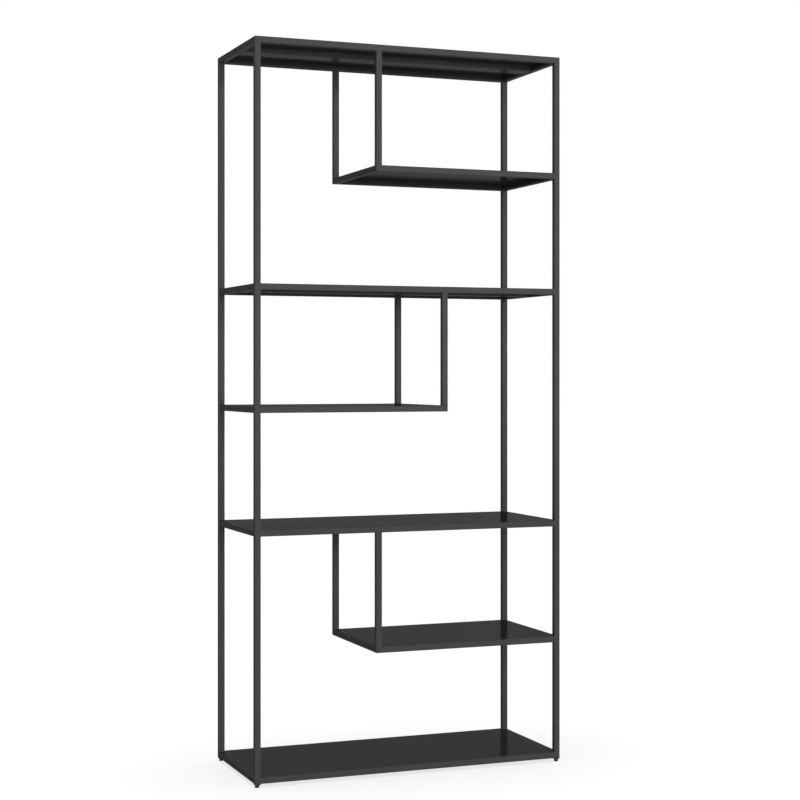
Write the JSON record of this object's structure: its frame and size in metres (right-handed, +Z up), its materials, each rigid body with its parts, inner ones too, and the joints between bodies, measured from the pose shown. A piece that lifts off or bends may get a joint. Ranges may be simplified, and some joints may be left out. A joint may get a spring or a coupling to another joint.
{
  "type": "etagere shelving unit",
  "caption": "Tall open shelving unit: slim square-tube steel frame with full and short sheet shelves, staggered left and right, on screw-in levelling glides.",
  "frame": {"origin": "on the floor, in the middle of the footprint", "axes": "+X to the right seen from the front, +Y to the back, +Z up"},
  "size_m": [0.8, 0.36, 1.8],
  "materials": {
    "frame": "satin black powder coat on square steel tube",
    "panel": "satin black powder coat on sheet steel",
    "stiffener": "satin black powder coat on folded sheet steel",
    "foot_plug": "satin black coat on the tapered plug",
    "glide": "matt black nylon foot moulded on a steel stud"
  },
  "bodies": {
    "frame": {"post_front_left": "frame", "post_front_right": "frame", "post_back_left": "frame", "post_back_right": "frame", "shelf_1_front_rail": "frame", "shelf_1_back_rail": "frame", "shelf_1_left_rail": "frame", "shelf_1_right_rail": "frame", "shelf_1_panel": "panel", "shelf_1_stiffener": "stiffener", "shelf_2_front_rail": "frame", "shelf_2_back_rail": "frame", "shelf_2_right_rail": "frame", "shelf_2_end_rail": "frame", "shelf_2_panel": "panel", "shelf_2_front_divider": "frame", "shelf_2_back_divider": "frame", "shelf_3_front_rail": "frame", "shelf_3_back_rail": "frame", "shelf_3_left_rail": "frame", "shelf_3_right_rail": "frame", "shelf_3_panel": "panel", "shelf_3_stiffener": "stiffener", "shelf_4_front_rail": "frame", "shelf_4_back_rail": "frame", "shelf_4_left_rail": "frame", "shelf_4_end_rail": "frame", "shelf_4_panel": "panel", "shelf_4_front_divider": "frame", "shelf_4_back_divider": "frame", "shelf_5_front_rail": "frame", "shelf_5_back_rail": "frame", "shelf_5_left_rail": "frame", "shelf_5_right_rail": "frame", "shelf_5_panel": "panel", "shelf_5_stiffener": "stiffener", "shelf_6_front_rail": "frame", "shelf_6_back_rail": "frame", "shelf_6_right_rail": "frame", "shelf_6_end_rail": "frame", "shelf_6_panel": "panel", "shelf_6_front_divider": "frame", "shelf_6_back_divider": "frame", "shelf_7_front_rail": "frame", "shelf_7_back_rail": "frame", "shelf_7_left_rail": "frame", "shelf_7_right_rail": "frame", "shelf_7_panel": "panel", "shelf_7_stiffener": "stiffener", "foot_plug_front_left": "foot_plug", "foot_plug_front_right": "foot_plug", "foot_plug_back_left": "foot_plug", "foot_plug_back_right": "foot_plug"},
    "front_left_glide": {"levelling_glide_front_left": "glide"},
    "front_right_glide": {"levelling_glide_front_right": "glide"},
    "back_left_glide": {"levelling_glide_back_left": "glide"},
    "back_right_glide": {"levelling_glide_back_right": "glide"}
  },
  "joints": [
    {"name": "front_left_glide_screw", "type": "slide", "parent": "frame", "child": "front_left_glide", "axis": [0, 0, -1], "range_m": [0, 0.008]},
    {"name": "front_right_glide_screw", "type": "slide", "parent": "frame", "child": "front_right_glide", "axis": [0, 0, -1], "range_m": [0, 0.008]},
    {"name": "back_left_glide_screw", "type": "slide", "parent": "frame", "child": "back_left_glide", "axis": [0, 0, -1], "range_m": [0, 0.008]},
    {"name": "back_right_glide_screw", "type": "slide", "parent": "frame", "child": "back_right_glide", "axis": [0, 0, -1], "range_m": [0, 0.008]}
  ]
}
